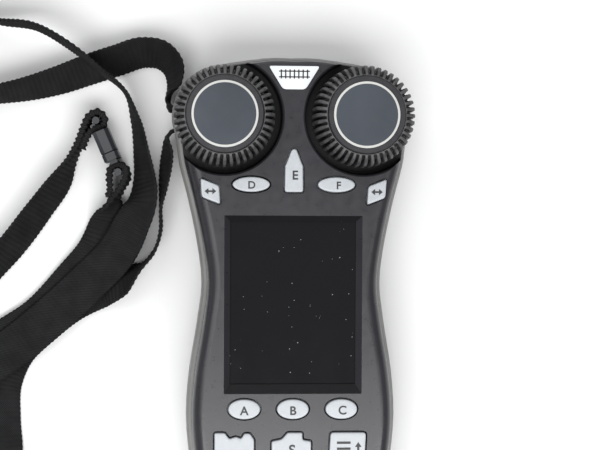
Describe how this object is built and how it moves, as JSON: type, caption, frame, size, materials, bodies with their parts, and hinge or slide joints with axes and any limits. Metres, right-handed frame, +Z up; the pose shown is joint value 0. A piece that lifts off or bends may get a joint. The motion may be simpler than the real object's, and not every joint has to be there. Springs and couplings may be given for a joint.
{
  "type": "train set controller",
  "caption": "Hand-held wireless throttle for model trains: waisted case, ribbed press-and-turn knobs, colour display, keypad and a woven neck strap with a breakaway clip.",
  "frame": {"origin": "under the middle of the case, on the surface that its back lies on", "axes": "+X to the right across the face, +Y along the case towards the knobs, +Z up out of the face"},
  "size_m": [0.1857, 0.1919, 0.0384],
  "materials": {
    "face_plastic": "fine matte texture",
    "back_plastic": "fine matte texture",
    "pale_plastic": "smooth",
    "window": "polished, tinted",
    "display": "polished",
    "steel": "bright",
    "circuit_board": "solder mask",
    "key_rubber": "moulded silicone",
    "key_plastic": "satin, slightly clear",
    "infrared_plastic": "polished, nearly black",
    "led_plastic": "clear tinted epoxy",
    "socket_plastic": "moulded",
    "gold": "plated",
    "cell_sleeve": "printed sleeve, plain here",
    "black_screw": "blackened steel",
    "webbing": "ribbed woven polyester",
    "clip_plastic": "moulded",
    "knob_rubber": "ribbed, slightly worn",
    "knob_plastic": "fine matte",
    "cap_plastic": "satin with a pale printed ring",
    "encoder_metal": "die cast",
    "plunger_plastic": "moulded"
  },
  "bodies": {
    "case": {"front_shell": "face_plastic", "rear_shell": "back_plastic", "badge_plate": "pale_plastic", "window_lens": "window", "display_panel": "display", "display_frame": "steel", "main_board": "circuit_board", "radio_module": "steel", "upper_key_mat": "key_rubber", "lower_key_mat": "key_rubber", "encoder_left": "encoder_metal", "encoder_right": "encoder_metal", "encoder_nuts": "steel", "infrared_window": "infrared_plastic", "infrared_emitters": "led_plastic", "socket_housing": "socket_plastic", "socket_contacts": "gold", "battery_cells": "cell_sleeve", "battery_springs": "steel", "battery_contacts": "steel", "case_screws": "black_screw", "board_screws": "steel", "strap_upper": "webbing", "strap_lower": "webbing", "clip_socket": "clip_plastic", "clip_plug": "clip_plastic"},
    "door": {"battery_door": "back_plastic"},
    "key_d_body": {"key_d": "key_plastic"},
    "key_e_body": {"key_e": "key_plastic"},
    "key_f_body": {"key_f": "key_plastic"},
    "key_direction_left_body": {"key_direction_left": "key_plastic"},
    "key_direction_right_body": {"key_direction_right": "key_plastic"},
    "key_a_body": {"key_a": "key_plastic"},
    "key_b_body": {"key_b": "key_plastic"},
    "key_c_body": {"key_c": "key_plastic"},
    "key_locomotive_body": {"key_locomotive": "key_plastic"},
    "key_switch_body": {"key_switch": "key_plastic"},
    "key_menu_body": {"key_menu": "key_plastic"},
    "key_1_body": {"key_1": "key_plastic"},
    "key_2_body": {"key_2": "key_plastic"},
    "key_3_body": {"key_3": "key_plastic"},
    "key_4_body": {"key_4": "key_plastic"},
    "key_5_body": {"key_5": "key_plastic"},
    "key_6_body": {"key_6": "key_plastic"},
    "key_7_body": {"key_7": "key_plastic"},
    "key_8_body": {"key_8": "key_plastic"},
    "key_9_body": {"key_9": "key_plastic"},
    "key_minus_body": {"key_minus": "key_plastic"},
    "key_0_body": {"key_0": "key_plastic"},
    "key_plus_body": {"key_plus": "key_plastic"},
    "push_left": {"encoder_plunger_left": "plunger_plastic"},
    "knob_left": {"knob_left_grip": "knob_rubber", "knob_left_core": "knob_plastic", "knob_left_cap": "cap_plastic", "encoder_shaft_left": "steel"},
    "push_right": {"encoder_plunger_right": "plunger_plastic"},
    "knob_right": {"knob_right_grip": "knob_rubber", "knob_right_core": "knob_plastic", "knob_right_cap": "cap_plastic", "encoder_shaft_right": "steel"}
  },
  "joints": [
    {"name": "door_slide", "type": "slide", "parent": "case", "child": "door", "axis": [0, -1, 0], "range_m": [0, 0.08]},
    {"name": "key_d_press", "type": "slide", "parent": "case", "child": "key_d_body", "axis": [0, 0, -1], "range_m": [0, 0.0008], "stiffness_N_per_m": 400},
    {"name": "key_e_press", "type": "slide", "parent": "case", "child": "key_e_body", "axis": [0, 0, -1], "range_m": [0, 0.0008], "stiffness_N_per_m": 400},
    {"name": "key_f_press", "type": "slide", "parent": "case", "child": "key_f_body", "axis": [0, 0, -1], "range_m": [0, 0.0008], "stiffness_N_per_m": 400},
    {"name": "key_direction_left_press", "type": "slide", "parent": "case", "child": "key_direction_left_body", "axis": [0, 0, -1], "range_m": [0, 0.0008], "stiffness_N_per_m": 400},
    {"name": "key_direction_right_press", "type": "slide", "parent": "case", "child": "key_direction_right_body", "axis": [0, 0, -1], "range_m": [0, 0.0008], "stiffness_N_per_m": 400},
    {"name": "key_a_press", "type": "slide", "parent": "case", "child": "key_a_body", "axis": [0, 0, -1], "range_m": [0, 0.0008], "stiffness_N_per_m": 400},
    {"name": "key_b_press", "type": "slide", "parent": "case", "child": "key_b_body", "axis": [0, 0, -1], "range_m": [0, 0.0008], "stiffness_N_per_m": 400},
    {"name": "key_c_press", "type": "slide", "parent": "case", "child": "key_c_body", "axis": [0, 0, -1], "range_m": [0, 0.0008], "stiffness_N_per_m": 400},
    {"name": "key_locomotive_press", "type": "slide", "parent": "case", "child": "key_locomotive_body", "axis": [0, 0, -1], "range_m": [0, 0.0008], "stiffness_N_per_m": 400},
    {"name": "key_switch_press", "type": "slide", "parent": "case", "child": "key_switch_body", "axis": [0, 0, -1], "range_m": [0, 0.0008], "stiffness_N_per_m": 400},
    {"name": "key_menu_press", "type": "slide", "parent": "case", "child": "key_menu_body", "axis": [0, 0, -1], "range_m": [0, 0.0008], "stiffness_N_per_m": 400},
    {"name": "key_1_press", "type": "slide", "parent": "case", "child": "key_1_body", "axis": [0, 0, -1], "range_m": [0, 0.0008], "stiffness_N_per_m": 400},
    {"name": "key_2_press", "type": "slide", "parent": "case", "child": "key_2_body", "axis": [0, 0, -1], "range_m": [0, 0.0008], "stiffness_N_per_m": 400},
    {"name": "key_3_press", "type": "slide", "parent": "case", "child": "key_3_body", "axis": [0, 0, -1], "range_m": [0, 0.0008], "stiffness_N_per_m": 400},
    {"name": "key_4_press", "type": "slide", "parent": "case", "child": "key_4_body", "axis": [0, 0, -1], "range_m": [0, 0.0008], "stiffness_N_per_m": 400},
    {"name": "key_5_press", "type": "slide", "parent": "case", "child": "key_5_body", "axis": [0, 0, -1], "range_m": [0, 0.0008], "stiffness_N_per_m": 400},
    {"name": "key_6_press", "type": "slide", "parent": "case", "child": "key_6_body", "axis": [0, 0, -1], "range_m": [0, 0.0008], "stiffness_N_per_m": 400},
    {"name": "key_7_press", "type": "slide", "parent": "case", "child": "key_7_body", "axis": [0, 0, -1], "range_m": [0, 0.0008], "stiffness_N_per_m": 400},
    {"name": "key_8_press", "type": "slide", "parent": "case", "child": "key_8_body", "axis": [0, 0, -1], "range_m": [0, 0.0008], "stiffness_N_per_m": 400},
    {"name": "key_9_press", "type": "slide", "parent": "case", "child": "key_9_body", "axis": [0, 0, -1], "range_m": [0, 0.0008], "stiffness_N_per_m": 400},
    {"name": "key_minus_press", "type": "slide", "parent": "case", "child": "key_minus_body", "axis": [0, 0, -1], "range_m": [0, 0.0008], "stiffness_N_per_m": 400},
    {"name": "key_0_press", "type": "slide", "parent": "case", "child": "key_0_body", "axis": [0, 0, -1], "range_m": [0, 0.0008], "stiffness_N_per_m": 400},
    {"name": "key_plus_press", "type": "slide", "parent": "case", "child": "key_plus_body", "axis": [0, 0, -1], "range_m": [0, 0.0008], "stiffness_N_per_m": 400},
    {"name": "knob_left_press", "type": "slide", "parent": "case", "child": "push_left", "axis": [0, 0, -1], "range_m": [0, 0.0005], "stiffness_N_per_m": 6000},
    {"name": "knob_left_turn", "type": "hinge", "parent": "push_left", "child": "knob_left", "pos_m": [-0.0207, 0.0675, 0.0384], "axis": [0, 0, 1], "continuous": true},
    {"name": "knob_right_press", "type": "slide", "parent": "case", "child": "push_right", "axis": [0, 0, -1], "range_m": [0, 0.0005], "stiffness_N_per_m": 6000},
    {"name": "knob_right_turn", "type": "hinge", "parent": "push_right", "child": "knob_right", "pos_m": [0.0207, 0.0675, 0.0384], "axis": [0, 0, 1], "continuous": true}
  ]
}
